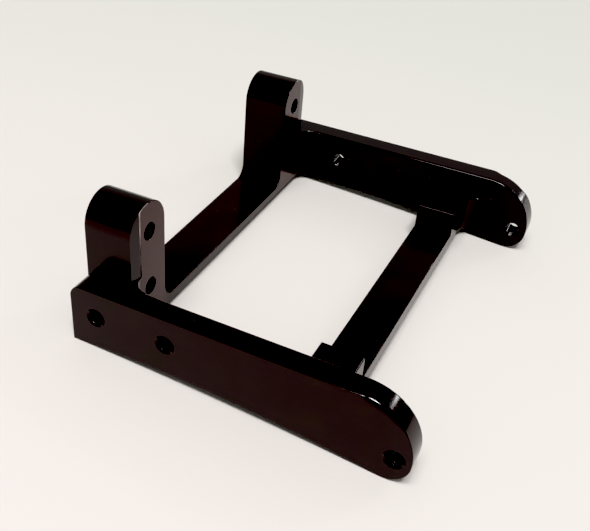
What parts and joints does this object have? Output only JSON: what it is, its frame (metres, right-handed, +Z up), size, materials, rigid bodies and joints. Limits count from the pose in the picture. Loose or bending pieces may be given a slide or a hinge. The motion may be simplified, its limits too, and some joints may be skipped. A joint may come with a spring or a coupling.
{
  "type": "camera mount bracket",
  "caption": "Open rectangular camera mount bracket: side arms with rounded noses and tapped holes, upright round-topped ears at the rear, cross bars between them.",
  "frame": {"origin": "centre of the bracket's bounding box, on the surface that it stands on", "axes": "+X towards the rounded noses of the arms, +Y towards the left-hand arm, +Z up from the surface that the heels and noses of the arms stand on; the arms' top faces slope up by about 3.1 degrees towards +X"},
  "size_m": [0.0564, 0.07, 0.023],
  "materials": {
    "right_arm": "glossy black anodised",
    "left_arm": "glossy black anodised",
    "right_ear": "glossy black anodised",
    "left_ear": "glossy black anodised",
    "rear_bar": "glossy black anodised",
    "front_bar": "glossy black anodised",
    "right_block": "glossy black anodised",
    "left_block": "glossy black anodised"
  },
  "bodies": {
    "root": {"right_arm": "right_arm", "left_arm": "left_arm", "right_ear": "right_ear", "left_ear": "left_ear", "rear_bar": "rear_bar", "front_bar": "front_bar", "right_block": "right_block", "left_block": "left_block"}
  },
  "joints": []
}
